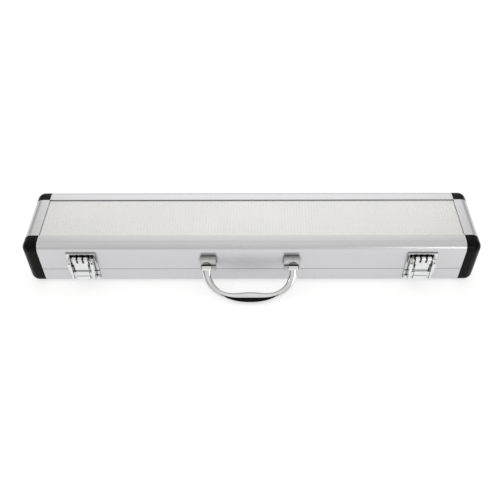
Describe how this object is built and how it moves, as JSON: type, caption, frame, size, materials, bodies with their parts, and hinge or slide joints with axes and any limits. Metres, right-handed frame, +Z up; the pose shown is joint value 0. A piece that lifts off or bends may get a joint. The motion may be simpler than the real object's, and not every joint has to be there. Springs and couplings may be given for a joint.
{
  "type": "flute case",
  "caption": "Long aluminium flute case: deep lid over a shallow base, black moulded corners, bow handle and claw latches on the front, hinged at the back, foam beds inside.",
  "frame": {"origin": "centre of the underside: the middle of the bottom panel's outer face, at the level of the surface the case stands on", "axes": "+X along the case to the right seen from the front, -Y to the front with the handle and latches, +Z up"},
  "size_m": [0.53, 0.1411, 0.062],
  "materials": {
    "profile": "satin anodised",
    "panel": "satin, embossed with fine dots",
    "corner": "moulded, low sheen",
    "foam": "flocked foam",
    "chrome": "bright plated",
    "bracket": "satin plated casting",
    "inlay": "smooth",
    "hardware": "plated"
  },
  "bodies": {
    "base": {"base_profile_front": "profile", "base_profile_back": "profile", "base_profile_left": "profile", "base_profile_right": "profile", "base_panel": "panel", "base_corner_fl": "corner", "base_corner_fr": "corner", "base_corner_bl": "corner", "base_corner_br": "corner", "base_foam": "foam", "hinge_base_leaf_left": "hardware", "hinge_base_leaf_right": "hardware", "hinge_pin_left": "hardware", "hinge_pin_right": "hardware", "hinge_rivets_base": "hardware", "latch_plate_left": "chrome", "latch_plate_right": "chrome", "latch_rivets": "hardware", "latch_pivots": "hardware"},
    "lid": {"lid_profile_front": "profile", "lid_profile_back": "profile", "lid_profile_left": "profile", "lid_profile_right": "profile", "lid_panel": "panel", "lid_corner_fl": "corner", "lid_corner_fr": "corner", "lid_corner_bl": "corner", "lid_corner_br": "corner", "lid_foam": "foam", "hinge_lid_leaf_left": "hardware", "hinge_lid_leaf_right": "hardware", "hinge_rivets_lid": "hardware", "handle_bracket_left": "bracket", "handle_bracket_right": "bracket", "handle_screws": "hardware", "handle_pins": "hardware", "latch_catch_left": "chrome", "latch_catch_right": "chrome", "catch_rivets": "hardware"},
    "handle": {"handle_bow": "chrome", "handle_inlay": "inlay"},
    "lever_left": {"lever_left": "chrome", "lever_pin_left": "hardware"},
    "claw_left": {"claw_left": "chrome"},
    "lever_right": {"lever_right": "chrome", "lever_pin_right": "hardware"},
    "claw_right": {"claw_right": "chrome"}
  },
  "joints": [
    {"name": "lid_hinge", "type": "hinge", "parent": "base", "child": "lid", "pos_m": [0, 0.0516, 0.0245], "axis": [-1, 0, 0], "range_deg": [0, 110]},
    {"name": "handle_swing", "type": "hinge", "parent": "lid", "child": "handle", "pos_m": [0, -0.0555, 0.0335], "axis": [-1, 0, 0], "range_deg": [-36, 90]},
    {"name": "lever_left_pivot", "type": "hinge", "parent": "base", "child": "lever_left", "pos_m": [-0.197, -0.0545, 0.0448], "axis": [-1, 0, 0], "range_deg": [0, 95]},
    {"name": "claw_left_pivot", "type": "hinge", "parent": "lever_left", "child": "claw_left", "pos_m": [-0.197, -0.0538, 0.034], "axis": [1, 0, 0], "range_deg": [0, 95]},
    {"name": "lever_right_pivot", "type": "hinge", "parent": "base", "child": "lever_right", "pos_m": [0.197, -0.0545, 0.0448], "axis": [-1, 0, 0], "range_deg": [0, 95]},
    {"name": "claw_right_pivot", "type": "hinge", "parent": "lever_right", "child": "claw_right", "pos_m": [0.197, -0.0538, 0.034], "axis": [1, 0, 0], "range_deg": [0, 95]}
  ],
  "couplings": [
    {"joint": "claw_left_pivot", "follows": "lever_left_pivot", "ratio": 1},
    {"joint": "claw_right_pivot", "follows": "lever_right_pivot", "ratio": 1}
  ]
}
